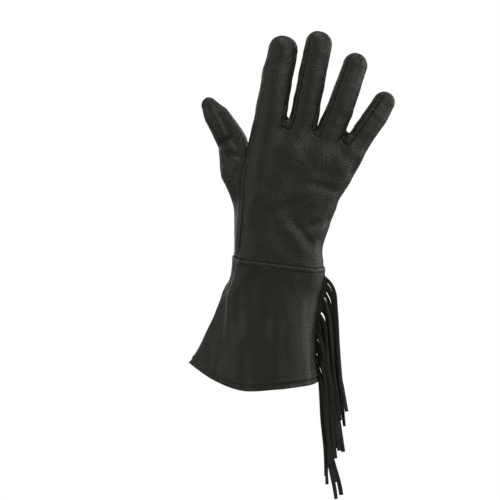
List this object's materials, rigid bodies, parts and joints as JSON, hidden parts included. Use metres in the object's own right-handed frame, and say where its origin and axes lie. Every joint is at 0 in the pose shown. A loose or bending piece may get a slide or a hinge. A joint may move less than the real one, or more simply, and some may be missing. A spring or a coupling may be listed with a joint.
{
  "type": "gauntlet glove",
  "caption": "Right-hand leather gauntlet glove with separate fingers and thumb, a long flared cuff with a gusset, and a fringe in the cuff's outer seam.",
  "frame": {"origin": "centre of the wrist, where the hand joins the cuff", "axes": "+Z from the wrist up to the fingertips, +X towards the little finger's side, +Y out of the palm, so the back of the hand faces -Y"},
  "size_m": [0.1952, 0.0677, 0.4419],
  "materials": {
    "glove_leather": "pebbled, soft semi-matte",
    "fringe_leather": "smooth cut strips, soft semi-matte"
  },
  "bodies": {
    "root": {"back_panel": "glove_leather", "palm_panel": "glove_leather", "finger_front_middle": "glove_leather", "finger_front_ring": "glove_leather", "fourchette_index_middle": "glove_leather", "fourchette_middle_ring": "glove_leather", "fourchette_ring_little": "glove_leather", "thumb_piece": "glove_leather", "cuff_back": "glove_leather", "cuff_gusset": "glove_leather", "cuff_palm": "glove_leather", "fringe": "fringe_leather"}
  },
  "joints": []
}
